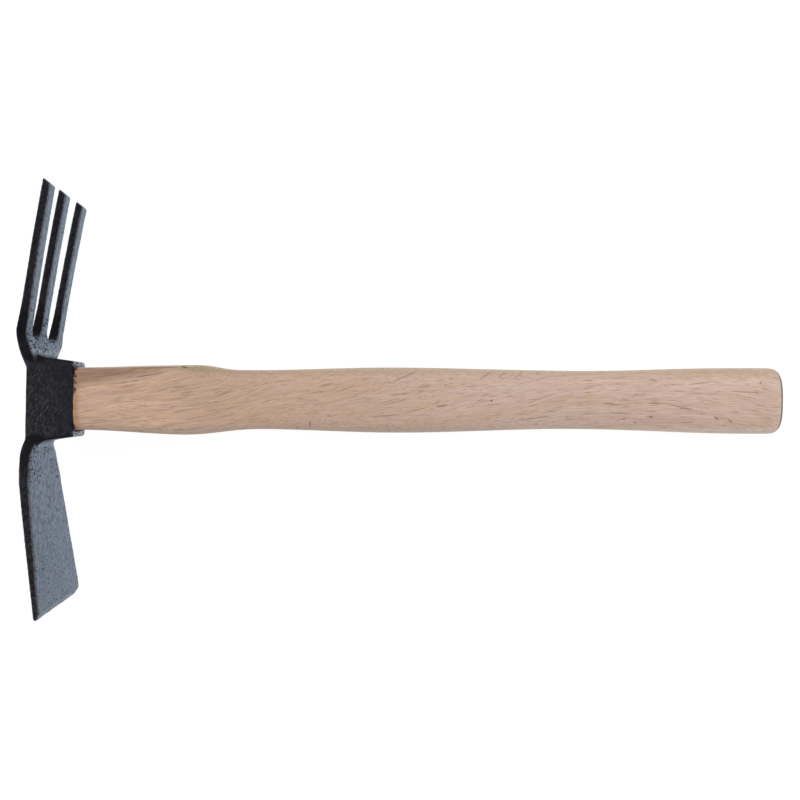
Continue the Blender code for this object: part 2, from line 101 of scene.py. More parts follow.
@dataclass(frozen=True)
class ToolAxes:
    """Where the tool lies: the back of its head on the handle's axis, its turn, and its length."""

    origin: Vector
    turn: Euler
    length: float

    @classmethod
    def from_record(cls, record: dict) -> "ToolAxes":
        """Reads the axes off the two flat faces at the tool's ends.

        Args:
            record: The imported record, whose mounts are those faces.

        Returns:
            The tool's axes in the row frame.
        """
        mounts = {mount["name"]: mount for mount in record["mounts"]}
        butt = Vector(mounts["butt_end"]["pos_m"])
        along = Vector(mounts["butt_end"]["axis"]).normalized()
        length = (butt - Vector(mounts["head_back"]["pos_m"])).dot(along)
        turn = Euler((0.0, math.atan2(-along.z, along.x), 0.0))
        return cls(butt - along * length, turn, length)

    @property
    def along(self) -> Vector:
        """Direction from the head to the butt."""
        return self.turn.to_matrix() @ Vector((1.0, 0.0, 0.0))

    def to_tool(self, point: Vector) -> Vector:
        """Turns a point of the row frame into the tool's own axes."""
        return self.turn.to_matrix().transposed() @ (point - self.origin)


AXES = ToolAxes.from_record(frame["record"])


def arithmetic(operation: str, swapped: bool = False) -> Callable[["Value", "Input"], "Value"]:
    """Makes a method that adds a Math node.

    Args:
        operation: What the node does with the value and the other number.
        swapped: Whether the other number comes first.

    Returns:
        The method.
    """

    def method(value: "Value", other: "Input" = 0.0) -> "Value":
        """Puts the value and the other number through the node."""
        first, second = (other, value) if swapped else (value, other)
        return value.add("ShaderNodeMath", {0: first, 1: second}, operation=operation)

    return method


class Value:
    """What one node puts out at each point of a surface. Arithmetic with it adds Math nodes."""

    __add__ = arithmetic("ADD")
    __sub__ = arithmetic("SUBTRACT")
    __rsub__ = arithmetic("SUBTRACT", swapped=True)
    __mul__ = arithmetic("MULTIPLY")
    __truediv__ = arithmetic("DIVIDE")
    __rtruediv__ = arithmetic("DIVIDE", swapped=True)
    __pow__ = arithmetic("POWER")
    __abs__ = arithmetic("ABSOLUTE")
    root = arithmetic("SQRT")
    either = arithmetic("MAXIMUM")
    above = arithmetic("GREATER_THAN")
    below = arithmetic("LESS_THAN")

    def __init__(self, socket: Socket) -> None:
        """Keeps the output that carries the value."""
        self.socket = socket

    def add(self, kind: str, inputs: dict, out: int | str = 0, **settings: object) -> "Value":
        """Adds a node to the value's own tree, as add_node does."""
        return add_node(self.socket.id_data, kind, inputs, out, **settings)

    def other(self, name: str) -> "Value":
        """Gives another output of the same node."""
        return Value(self.socket.node.outputs[name])

    def clamped(self) -> "Value":
        """Keeps the result of a Math node between 0 and 1."""
        self.socket.node.use_clamp = True
        return self

    def between(self, start: "Input", end: "Input") -> "Value":
        """Turns a share from 0 to 1 into a number from start to end, smoothly."""
        return Ramp(0.0, 1.0, start, end)(self)

    def parts(self) -> "Parts":
        """Splits a vector."""
        first = self.add("ShaderNodeSeparateXYZ", {0: self})
        return Parts(first, first.other("Y"), first.other("Z"))

    def vector(self, operation: str, second: object, out: int | str = 0) -> "Value":
        """Adds a Vector Math node."""
        return self.add("ShaderNodeVectorMath", {0: self, 1: second}, out, operation=operation)

    def mapped(self, **turns: object) -> "Value":
        """Turns, moves or stretches a position."""
        return self.add("ShaderNodeMapping", {"Vector": self} | turns)

    def noise(self, scale: "Input", detail: "Input", out: int | str = 0) -> "Value":
        """Gives noise at a position."""
        return self.add("ShaderNodeTexNoise", {"Vector": self, "Scale": scale, "Detail": detail}, out)

    def mix(self, share: "Input", first: "Input", second: "Input") -> "Value":
        """Blends two colours by a share from 0 to 1."""
        inputs = {MIX_SHARE: share, MIX_FIRST: first, MIX_SECOND: second}
        return self.add("ShaderNodeMix", inputs, MIX_RESULT, data_type="RGBA")

    def blend(self, first: "Input", second: "Input") -> "Value":
        """Blends two colours by this share from 0 to 1."""
        return self.mix(self, first, second)

    def under(self, *coats: tuple["Input", "Input"]) -> "Value":
        """Lays coats over this colour.

        Args:
            *coats: Each coat's colour and the share of it that shows, the lowest coat first.

        Returns:
            The colour that shows.
        """
        colour = self
        for coat, share in coats:
            colour = self.mix(share, colour, coat)
        return colour


Input = Value | float | tuple


class Parts(NamedTuple):
    """The three parts of a vector."""

    x: Value
    y: Value
    z: Value


def feed(socket: Socket, value: Input) -> None:
    """Joins a value to a socket, or sets a plain number, vector or colour on it.

    Args:
        socket: The input that takes the value.
        value: What it takes. A plain colour is given its alpha.
    """
    if isinstance(value, Value):
        socket.id_data.links.new(value.socket, socket)
    elif socket.type == "RGBA":
        socket.default_value = (*value, 1.0)
    else:
        socket.default_value = value


def add_node(tree: Tree, kind: str, inputs: dict, out: int | str = 0, **settings: object) -> Value:
    """Adds a node.

    Args:
        tree: The tree that it goes into.
        kind: Its type name.
        inputs: Its inputs, by name or number, and what each takes.
        out: The output that is wanted.
        **settings: Its own properties.

    Returns:
        What that output carries.
    """
    node = tree.nodes.new(kind)
    for name, value in settings.items():
        setattr(node, name, value)
    for name, value in inputs.items():
        feed(node.inputs[name], value)
    return Value(node.outputs[out])


def strongest(masks: Iterable[Value]) -> Value:
    """Gives the strongest of several masks at each point."""
    return reduce(Value.either, masks)


@dataclass(frozen=True)
class Ramp:
    """A smooth step, which turns the values from low to high into those from start to end."""

    low: Input
    high: Input
    start: Input = 0.0
    end: Input = 1.0

    def __call__(self, value: Value) -> Value:
        """Puts a value through the step.

        Args:
            value: What is mapped.

        Returns:
            The mapped value.
        """
        inputs = {"Value": value, "From Min": self.low, "From Max": self.high}
        inputs |= {"To Min": self.start, "To Max": self.end}
        return value.add("ShaderNodeMapRange", inputs, "Result", interpolation_type="SMOOTHSTEP")


class Effect:
    """A pattern that finishes share: a node group, built once and placed with each pattern's own values."""

    def __call__(self, place: Value) -> Value:
        """Places the group at a position, with this pattern's values."""
        inputs = {"Vector": place} | {name.capitalize(): number for name, number in vars(self).items()}
        return place.add("ShaderNodeGroup", inputs, node_tree=self.group())

    @classmethod
    @cache
    def group(cls) -> Tree:
        """Builds the node group when it is first placed.

        Returns:
            The group, which has an input for the position and one for each of the pattern's values.
        """
        tree = bpy.data.node_groups.new(cls.__name__.lower(), "ShaderNodeTree")
        tree.interface.new_socket("Vector", in_out="INPUT", socket_type="NodeSocketVector")
        for field in fields(cls):
            tree.interface.new_socket(field.name.capitalize(), in_out="INPUT", socket_type="NodeSocketFloat")
        tree.interface.new_socket("Mask", in_out="OUTPUT", socket_type="NodeSocketFloat")
        entry = tree.nodes.new("NodeGroupInput")
        place, *given = [Value(socket) for socket in entry.outputs if socket.name]
        feed(tree.nodes.new("NodeGroupOutput").inputs["Mask"], cls(*given).mask(place))
        return tree

    def mask(self, place: Value) -> Value:
        """Wires the inside of the group, whose inputs are this pattern's values."""
        raise NotImplementedError


@dataclass(frozen=True)
class Streaks(Effect):
    """Streaks along X that rise towards +Y by a slope: grain, flecks and drawn-out forging marks."""

    length: Input
    width: Input
    low: Input
    high: Input
    slope: Input = 0.0
    detail: Input = 3.0

    def mask(self, place: Value) -> Value:
        """Draws noise out along X.

        Args:
            place: The position.

        Returns:
            The mask.
        """
        parts = place.parts()
        height = parts.y - parts.x * self.slope
        sides = {"X": parts.x / self.length, "Y": height / self.width, "Z": parts.z / self.width}
        stretched = place.add("ShaderNodeCombineXYZ", sides)
        return Ramp(self.low, self.high)(stretched.noise(1.0, self.detail))


@dataclass(frozen=True)
class Specks(Effect):
    """Scattered small round spots, of which only a share is kept: pores and dents."""

    spacing: Input
    radius: Input
    share: Input
    core: ClassVar[float] = 0.4

    def mask(self, place: Value) -> Value:
        """Keeps the middles of a share of the cells.

        Args:
            place: The position.

        Returns:
            The mask.
        """
        cells = {"Vector": place, "Scale": 1.0 / self.spacing}
        distance = place.add("ShaderNodeTexVoronoi", cells, "Distance")
        radius = self.radius / self.spacing
        chance = distance.add("ShaderNodeSeparateColor", {0: distance.other("Color")})
        return Ramp(radius * self.core, radius, 1.0, 0.0)(distance) * chance.below(self.share)


@dataclass(frozen=True)
class Mottle(Effect):
    """Cloudy patches of one size."""

    size: Input
    low: Input
    high: Input
    detail: Input = 3.0

    def mask(self, place: Value) -> Value:
        """Cuts noise off smoothly."""
        return Ramp(self.low, self.high)(place.noise(1.0 / self.size, self.detail))


@dataclass(frozen=True)
class Spot(Effect):
    """One knot, check, pore or fleck on the handle's near face: its place, half sizes, slope and strength."""

    along: Input
    across: Input
    length: Input
    width: Input
    slope: Input = 0.0
    strength: Input = 0.8
    edge: ClassVar[Ramp] = Ramp(0.3, 1.1, 1.0, 0.0)
    raggedness: ClassVar[Pair] = (1500.0, 2.0)
    least: ClassVar[float] = 0.4

    def mask(self, place: Value) -> Value:
        """Fills a slanting oval with ragged edges.

        Args:
            place: The position.

        Returns:
            The mask.
        """
        parts = place.parts()
        along = parts.x - self.along
        across = parts.y - self.across - along * self.slope
        away = abs(along / self.length) ** 2.0 + abs(across / self.width) ** 2.0
        ragged = self.edge(away * (place.noise(*self.raggedness) + self.least))
        return ragged * parts.z.above(0.0) * self.strength


@dataclass(frozen=True)
class Waves:
    """Wavering lines or rings, so many to the metre."""

    scale: float
    distortion: float
    detail: float
    detail_scale: float

    def __call__(self, place: Value, **settings: str) -> Value:
        """Draws the lines at a position.

        Args:
            place: The position.
            **settings: The kind and the direction of the waves.

        Returns:
            The mask.
        """
        inputs = {"Vector": place, "Scale": self.scale, "Distortion": self.distortion}
        inputs |= {"Detail": self.detail, "Detail Scale": self.detail_scale}
        return place.add("ShaderNodeTexWave", inputs, "Fac", **settings)


def new_material(name: str) -> Material:
    """Starts a material with nodes.

    Args:
        name: The material's name.

    Returns:
        The material.
    """
    material = bpy.data.materials.new(name)
    material.use_nodes = True
    return material


class Surface:
    """A new material, and what it reads off the surface that it covers."""

    def __init__(self, name: str) -> None:
        """Starts the material and finds each point's place in the tool's own axes.

        Args:
            name: The material's name.
        """
        self.material = new_material(name)
        self.local = add_node(self.material.node_tree, "ShaderNodeTexCoord", {}, "Object")
        axes = {"Vector": self.local, "Location": AXES.origin, "Rotation": AXES.turn}
        self.place = self.local.add("ShaderNodeMapping", axes, vector_type="TEXTURE")
        self.along, self.across, self.side = self.place.parts()

    @cached_property
    def off_axis(self) -> Value:
        """Distance from the handle's axis, towards the tines or the blade."""
        return abs(self.across)

    @cached_property
    def facing(self) -> Parts:
        """The parts of the direction that the surface faces."""
        return self.local.other("Normal").parts()

    @cached_property
    def level(self) -> Value:
        """How squarely the surface faces the near or the far side."""
        return abs(self.facing.z)

    def finish(self, height: Value, depth: float, values: dict[str, Input]) -> Material:
        """Joins everything to the shader.

        Args:
            height: The relief, in parts of its depth.
            depth: The relief's depth.
            values: What each of the shader's other inputs takes.

        Returns:
            The material.
        """
        inputs = self.material.node_tree.nodes["Principled BSDF"].inputs
        bump = height.add("ShaderNodeBump", {"Height": height, "Distance": depth, "Strength": 1.0})
        for name, value in {"Normal": bump, **values}.items():
            feed(inputs[name], value)
        return self.material


@dataclass(frozen=True)
class BlackForgingPaint:
    """Black paint over a rough forging: near black from the front, pale blue-grey at a low angle."""

    low_base: Colour = (0.005, 0.005, 0.010)
    high_base: Colour = (0.030, 0.029, 0.043)
    # Painted shade: the plate's edges that face the near or far side are darker than its broad faces
    low_wall: Colour = (0.001, 0.001, 0.003)
    high_wall: Colour = (0.014, 0.013, 0.022)
    wall_grain: Colour = (0.075, 0.070, 0.082)
    # Painted sheen: a paler grey on the tines' broad faces, lighter like a low-angle reflection
    bloom: Colour = (0.068, 0.071, 0.083)
    # Painted highlight along the rounded edges between the broad faces and the edges facing the near or far
    # side
    worn_edge: Colour = (0.150, 0.153, 0.162)
    # Painted highlight on the fillet over the eye and on the rounded ends of the gaps between the tines
    worn_fillet: Colour = (0.260, 0.255, 0.235)
    ground: Colour = (0.015, 0.014, 0.018)
    rim: Colour = (0.165, 0.170, 0.172)
    stroke: Colour = (0.085, 0.080, 0.088)
    # Near black of the pits, also painted as shade in the near side's joints, long edges and lip
    pit: Colour = (0.0065, 0.0045, 0.0045)

    # How it shines, and how rough it is
    eye_metal: float = 0.25
    roughness: Pair = (0.42, 0.30)
    dull_roughness: float = 0.4
    specular_level: float = 0.08
    edge_tint: Colour = (0.60, 0.78, 1.0)
    haze: Colour = (0.30, 0.60, 1.0)
    haze_amount: float = 0.16
    haze_roughness: float = 0.38
    gloss: Ramp = Ramp(0.05, 0.80, 0.54, 1.0)
    dull_gloss: float = 0.1
    eye_gloss: float = 0.15
    gloss_roughness: float = 0.30
    gloss_index: float = 1.45
    relief: Pair = (0.60, 0.20)
    pit_relief: float = 0.6
    stroke_relief: float = 0.25
    relief_depth: float = 0.00020

    # The eye's near face, the rim of its mouth, the plate's edges and the blade's edge
    beside_handle: Ramp = Ramp(0.0205, 0.0235, 1.0, 0.0)
    past_mouth: Ramp = Ramp(0.0213, 0.0217)
    off_handle: Ramp = Ramp(0.0150, 0.0158)
    rim_specks: Mottle = Mottle(0.0011, 0.50, 0.62)
    rim_dullness: float = 0.8
    on_wall: Ramp = Ramp(0.60, 0.92)
    near_blade_edge: Ramp = Ramp(-0.0990, -0.1005, 0.0, 0.3)

    # Grain
    fine_grain: Mottle = Mottle(0.0011, 0.32, 0.68, 5.0)
    leather_grain: Mottle = Mottle(0.0017, 0.36, 0.60, 4.0)
    leather_stretch: Triple = (1.0, 0.62, 1.0)
    leather_share: Ramp = Ramp(0.050, 0.078, 0.70, 0.30)
    leather_on_back: Ramp = Ramp(-0.6, -0.2, 0.25, 1.0)

    # Painted grey sheen on the tines' broad faces, pale grains, and a painted highlight on the rounded edges
    bloom_on_tines: Ramp = Ramp(0.036, 0.066, 0.0, 0.75)
    bloom_on_grain: Ramp = Ramp(0.15, 0.85, 0.55, 1.25)
    wall_grains: Mottle = Mottle(0.0008, 0.52, 0.66, 2.0)
    wall_on_blade: Ramp = Ramp(-0.022, -0.048, 0.0, 0.75)
    edge_from: Ramp = Ramp(0.24, 0.36)
    edge_to: Ramp = Ramp(0.46, 0.60, 0.75, 0.0)

    # Painted highlight on the fillet over the eye and on the rounded ends of the gaps between the tines
    eye_half_height: float = 0.0217
    eye_taper: float = 0.14
    fillet_over_eye: Ramp = Ramp(-0.0042, -0.0020)
    fillet_by_tines: Ramp = Ramp(0.010, 0.012)
    fillet_facing: Ramp = Ramp(0.30, 0.15, 0.0, 0.6)
    gap_from: Ramp = Ramp(0.030, 0.032)
    gap_to: Ramp = Ramp(0.040, 0.042, 0.8, 0.0)
    gap_facing_from: Ramp = Ramp(0.20, 0.40)
    gap_facing_to: Ramp = Ramp(0.75, 0.92, 1.0, 0.0)
    gap_square: Ramp = Ramp(0.20, 0.40, 1.0, 0.0)

    # Dull stretches beside the eye, and painted shade, also dull, in the joints, on the eye's long edges and
    # on its mouth's lip
    palm_side: Ramp = Ramp(-0.001, 0.001)
    rough_reach: Pair = (0.023, 0.036)
    rough_fade: float = 0.018
    rough_strength: float = 0.95
    rough_start: Ramp = Ramp(0.0195, 0.0225)
    joint: Pair = (0.0050, 0.0222)
    joint_reach: Ramp = Ramp(0.0035, 0.0068, 0.95, 0.0)
    joint_facing: Ramp = Ramp(0.14, 0.30)
    long_edge: Ramp = Ramp(0.0004, 0.0024, 0.85, 0.0)
    long_edge_start: Ramp = Ramp(-0.0010, 0.0)
    long_edge_facing: Ramp = Ramp(0.25, 0.50)
    lip_from: Ramp = Ramp(0.0206, 0.0213)
    lip_side: Ramp = Ramp(0.0158, 0.0166, 0.90, 0.0)
    near_side: Ramp = Ramp(0.006, 0.008)

    # Pits
    pit_squash: Triple = (1.0, 0.75, 0.55)
    pits_on_wall: Ramp = Ramp(0.15, 0.35, 1.0, 0.35)
    pits_by_eye: Ramp = Ramp(0.030, 0.054, 1.0, 0.0)
    pits_start: Ramp = Ramp(-0.010, 0.010, 0.001, -0.012)
    pits_fade: float = 0.014
    far_pits: float = 0.50
    pits_on_blade: Ramp = Ramp(-0.010, 0.010, 0.85, 1.0)
    pit_clouds: Mottle = Mottle(0.0060, 0.38, 0.62, 1.0)
    cloud_share: float = 0.055
    pit_size: float = 0.0010
    pit_limits: Pair = (0.600, 0.480)
    pit_softness: float = 0.10
    pit_detail: float = 3.5

    # Slanting strokes on the eye
    stroke_slant: float = math.radians(-56.0)
    stroke_lines: Waves = Waves(370.0, 9.0, 3.0, 1.5)
    stroke_patches: Streaks = Streaks(0.0022, 0.0007, 0.42, 0.62)
    strokes_by_mouth: Ramp = Ramp(0.007, 0.018, 1.0, 0.5)
    strokes_by_tines: Ramp = Ramp(0.0, 0.016, 1.0, 0.7)
    stroke_strength: float = 0.80

    def build(self) -> Material:
        """Builds the material.

        Returns:
            The paint.
        """
        at = Surface("black_forging_paint")
        rim = self.past_mouth(at.along) * self.off_handle(at.off_axis)
        on_eye = (self.beside_handle(at.off_axis) - rim).clamped()
        wall = self.on_wall(at.level)
        strokes = self.strokes(at) * on_eye
        grain = self.grain(at)
        pits = self.pits(at) * (1.0 - on_eye) * self.pits_on_wall(at.level)
        rough = wall * self.beside_eye(at)
        specks = rim * self.rim_specks(at.place) * self.rim_dullness
        dull_and_shade = strongest([pits, self.dull_near_side(at), rough, self.near_blade_edge(at.across), specks])
        colour = grain.blend(self.low_base, self.high_base).under(
            # painted sheen on the tines' broad faces
            (self.bloom, self.bloom_on_tines(at.across) * self.bloom_on_grain(grain)),
            # painted shade on the edges that face the near or far side
            (self.wall_colour(at, grain), wall),
            # painted highlight along the rounded edges
            (self.worn_edge, self.edge_from(at.level) * self.edge_to(at.level)),
            (self.worn_fillet, self.worn_fillets(at)),
            (self.ground, on_eye),
            (self.rim, rim),
            (self.stroke, strokes * self.stroke_strength),
            # near black over the pits and the dull stretches, and as painted shade on the near side
            (self.pit, dull_and_shade),
        )
        gloss = self.gloss(grain) * dull_and_shade.between(1.0, self.dull_gloss) * on_eye.between(1.0, self.eye_gloss)
        values = {
            "Base Color": colour,
            "Metallic": (on_eye.between(1.0, self.eye_metal) - dull_and_shade).clamped(),
            "Roughness": (grain.between(*self.roughness) + dull_and_shade * self.dull_roughness).clamped(),
            "Specular IOR Level": self.specular_level,
            "Specular Tint": self.edge_tint,
            "Sheen Weight": self.haze_amount,
            "Sheen Roughness": self.haze_roughness,
            "Sheen Tint": self.haze,
            "Coat Weight": gloss,
            "Coat Roughness": self.gloss_roughness,
            "Coat IOR": self.gloss_index,
        }
        height = grain * on_eye.between(*self.relief) - pits * self.pit_relief + strokes * self.stroke_relief
        return at.finish(height, self.relief_depth, values)

    def grain(self, at: Surface) -> Value:
        """Mask of the paint's grain: drawn out towards the edge, coarse beside the eye and fine on the back.

        Args:
            at: The surface.

        Returns:
            The mask.
        """
        fine = self.fine_grain(at.place)
        leather = self.leather_grain(at.place.mapped(Scale=self.leather_stretch))
        share = self.leather_share(at.off_axis) * self.leather_on_back(at.facing.x)
        return fine + (leather - fine) * share

    def depth_in_eye(self, at: Surface) -> Value:
        """Depth of a point below the eye's upper or lower wall, which narrow towards the mouth."""
        return at.along * -self.eye_taper + self.eye_half_height - at.off_axis

    def worn_fillets(self, at: Surface) -> Value:
        """Mask of the painted highlight on the fillet over the eye and on the rounded ends of the gaps
        between the tines.

        Args:
            at: The surface.

        Returns:
            The mask.
        """
        fillet = self.fillet_over_eye(self.depth_in_eye(at)) * self.fillet_by_tines(at.across)
        gap_end = self.gap_from(at.across) * self.gap_to(at.across)
        facing = self.gap_facing_from(at.facing.y) * self.gap_facing_to(at.facing.y)
        return (fillet * self.fillet_facing(at.facing.z)).either(gap_end * facing * self.gap_square(at.level))

    def wall_colour(self, at: Surface, grain: Value) -> Value:
        """Colour of the plate's edges, which face the near or far side, painted darker than the broad faces
        as painted shade, with pale grains on the blade's.
        """
        grains = self.wall_grains(at.place) * self.wall_on_blade(at.across)
        return grain.blend(self.low_wall, self.high_wall).under((self.wall_grain, grains))

    def beside_eye(self, at: Surface) -> Value:
        """Mask of the stretches beside the eye, long on the palm and short on the blade.

        Args:
            at: The surface.

        Returns:
            The mask.
        """
        reach = self.palm_side(at.across).between(*self.rough_reach)
        fade = Ramp(reach, reach + self.rough_fade, self.rough_strength, 0.0)
        return self.rough_start(at.off_axis) * fade(at.off_axis)

    def dull_near_side(self, at: Surface) -> Value:
        """Mask of the near side's painted shade, where the paint is also dull.

        Args:
            at: The surface.

        Returns:
            The joints of the eye with the blade and the palm, the eye's two long edges, and its mouth's lip.
        """
        apart = (at.along - self.joint[0]) ** 2.0 + (at.off_axis - self.joint[1]) ** 2.0
        joint = self.joint_reach(apart.root()) * self.joint_facing(at.facing.z)
        depth = self.depth_in_eye(at)
        long_edge = self.long_edge(depth) * self.long_edge_facing(at.facing.z) * self.long_edge_start(depth)
        lip = self.lip_from(at.along) * self.lip_side(at.off_axis)
        return strongest([joint, long_edge, lip]) * self.near_side(at.side)

    def pits(self, at: Surface) -> Value:
        """Mask of the forging's pits, many beside the eye and near the camera's side, and few elsewhere.

        Args:
            at: The surface.

        Returns:
            The mask.
        """
        start = self.pits_start(at.across)
        near = Ramp(start, start + self.pits_fade, self.far_pits, 1.0)(at.side)
        place = at.place.mapped(Scale=self.pit_squash)
        many = self.pits_by_eye(at.off_axis) * near * self.pits_on_blade(at.across)
        limit = many.between(*self.pit_limits)
        limit = limit + self.pit_clouds(place) * self.cloud_share
        return Mottle(self.pit_size, limit, limit + self.pit_softness, self.pit_detail)(place)

    def strokes(self, at: Surface) -> Value:
        """Mask of the fine slanting strokes on the eye's near face, faint towards the mouth.

        Args:
            at: The surface.

        Returns:
            The mask.
        """
        turned = at.place.mapped(Rotation=(0.0, 0.0, self.stroke_slant))
        lines = self.stroke_lines(turned, wave_type="BANDS", bands_direction="Y")
        shown = self.strokes_by_mouth(at.along) * self.strokes_by_tines(at.across)
        return lines * self.stroke_patches(turned) * shown


@dataclass(frozen=True)
class PaleHardwood:
    """Bare sanded hardwood, browner towards the head, with slanting fibres and short dark flecks."""

    by_head: Colour = (0.795, 0.525, 0.373)
    by_swell: Colour = (0.632, 0.418, 0.300)
    by_butt: Colour = (0.645, 0.476, 0.388)
    handled: Colour = (0.10, 0.07, 0.05)
    warm_band: Colour = (0.56, 0.375, 0.255)
    rosy_band: Colour = (0.62, 0.43, 0.365)
    tan_spot: Colour = (0.56, 0.355, 0.20)
    heart: Colour = (0.28, 0.150, 0.092)
    sapwood: Colour = (0.35, 0.29, 0.175)
    sap_side: Colour = (0.54, 0.43, 0.30)
    # Lower side: grey painted shade by the head, and paler painted light towards the butt
    grey_side: Colour = (0.44, 0.38, 0.32)
    pale_side: Colour = (0.78, 0.68, 0.59)
    fibre: Colour = (0.31, 0.19, 0.14)
    fleck: Colour = (0.24, 0.14, 0.105)
    mark: Colour = (0.10, 0.052, 0.036)
    # Painted highlight along the edge between the near and the tines' side
    arris: Colour = (0.68, 0.60, 0.47)
    sawn_end: Colour = (0.43, 0.30, 0.205)
    late_ring: Colour = (0.23, 0.145, 0.095)
    # Dark end grain and painted shade on the butt's rounded edge
    end_ring: Colour = (0.10, 0.08, 0.075)
    rubbed: Colour = (0.42, 0.21, 0.12)
    # Dark brown of torn fibres, also painted as the shadow in the gap at the eye's mouth
    torn: Colour = (0.05, 0.028, 0.02)

    # How rough it is
    roughness: Pair = (0.55, 0.70)
    fibre_relief: float = -0.25
    tick_relief: float = 0.5
    relief_depth: float = 0.00010

    # How the grain runs
    wander_rate: Triple = (14.0, 34.0, 34.0)
    wander_middle: Triple = (0.5, 0.5, 0.5)
    wander_reach: Triple = (0.0, 0.007, 0.007)
    lean: Triple = (0.041, 0.91, -2.12)
    fan: Ramp = Ramp(0.020, 0.085, 1.0, 0.82)

    # Ground colour, bands and fibres
    swell_from: Ramp = Ramp(0.050, 0.085)
    butt_from: Ramp = Ramp(0.090, 0.24)
    handled_to: Ramp = Ramp(0.27, 0.34, 0.045, 0.0)
    warm: Streaks = Streaks(0.07, 0.0050, 0.42, 0.60)
    rosy: Streaks = Streaks(0.035, 0.0032, 0.45, 0.62, -0.05)
    tan: Streaks = Streaks(0.007, 0.0028, 0.56, 0.68, 0.1)
    band_strength: float = 0.45
    rosy_strength: float = 0.40
    coarse: Streaks = Streaks(0.020, 0.00055, 0.48, 0.63)
    fine: Streaks = Streaks(0.012, 0.00032, 0.44, 0.60, detail=2.0)
    lines: Streaks = Streaks(0.030, 0.00045, 0.42, 0.64, detail=2.0)
    ticks: Streaks = Streaks(0.0085, 0.00040, 0.61, 0.665, 0.05)
    by_the_head: Ramp = Ramp(0.06, 0.15, 1.0, 0.0)
    coarse_strength: Pair = (0.20, 0.36)
    fine_strength: Pair = (0.24, 0.34)
    line_strength: Ramp = Ramp(0.10, 0.18, 0.0, 0.16)
    tick_strength: float = 0.62

    # Heartwood, sapwood, and the lower side: grey painted shade by the head, paler painted light towards the
    # butt
    heart_climb: float = 0.17
    heart_start: float = 0.0018
    heart_above: Ramp = Ramp(-0.0015, 0.0030)
    heart_to: Ramp = Ramp(0.055, 0.080, 1.0, 0.0)
    heart_between_fibres: float = 0.70
    sap_start: Ramp = Ramp(0.060, 0.085, 0.0150, 0.0095)
    sap_narrowing: Ramp = Ramp(0.10, 0.14, 0.0, 0.0005)
    sap_width: float = 0.0060
    sap_strength: Ramp = Ramp(0.09, 0.20, 0.95, 0.46)
    sap_facing: Ramp = Ramp(0.72, 1.0)
    grey_to_pale: Ramp = Ramp(0.20, 0.32)
    grey_from: Ramp = Ramp(-0.0115, -0.0155)
    grey_strength: Ramp = Ramp(0.19, 0.32, 0.48, 0.42)

    # Painted highlight on the edge between the near and the tines' side, and pores at the swell
    arris_from: Ramp = Ramp(0.84, 0.94, 0.0, 0.80)
    arris_to: Ramp = Ramp(0.975, 0.999, 1.0, 0.1)
    arris_near: Ramp = Ramp(0.0, 0.10)
    arris_along: Ramp = Ramp(0.066, 0.078, 1.0, 0.0)
    arris_on_fibres: float = 0.4
    pore_dots: Specks = Specks(0.0013, 0.00038, 0.55)
    pores_from: Ramp = Ramp(0.070, 0.084)
    pores_to: Ramp = Ramp(0.105, 0.150, 0.55, 0.0)
    pores_side: Ramp = Ramp(0.002, 0.010)

    # Sawn ends, and dark end grain with painted shade on the butt's rounded edge
    butt_reach: Pair = (0.010, 0.006)
    end_facing: Ramp = Ramp(0.84, 0.95, 0.0, 0.9)
    ring_facing: Ramp = Ramp(0.36, 0.56, 0.0, 0.9)
    pith: Triple = (0.0, 0.024, 0.030)
    growth_rings: Waves = Waves(190.0, 3.0, 2.0, 0.6)
    growth_strength: float = 0.40
    end_pores: Specks = Specks(0.0008, 0.00030, 0.6)
    end_pore_strength: float = 0.45
    in_eye: Ramp = Ramp(0.008, 0.014, 0.85, 0.0)
    eye_stain: float = 0.45

    # Rubbed and torn fibres at the shoulder, and painted shadow in the gap at the eye's mouth
    fringe: Ramp = Ramp(SHOULDER + 0.0005, SHOULDER + 0.0035, 0.75, 0.0)
    tears: Mottle = Mottle(0.0015, 0.32, 0.72, 2.0)
    tear_length: Ramp = Ramp(0.000, 0.005, 0.0003, 0.0015)
    tear_start: Ramp = Ramp(0.000, 0.005, SHOULDER - 0.0005, SHOULDER - 0.0001)
    tear_end: Ramp = Ramp(-0.0003, 0.0003, 0.95, 0.0)

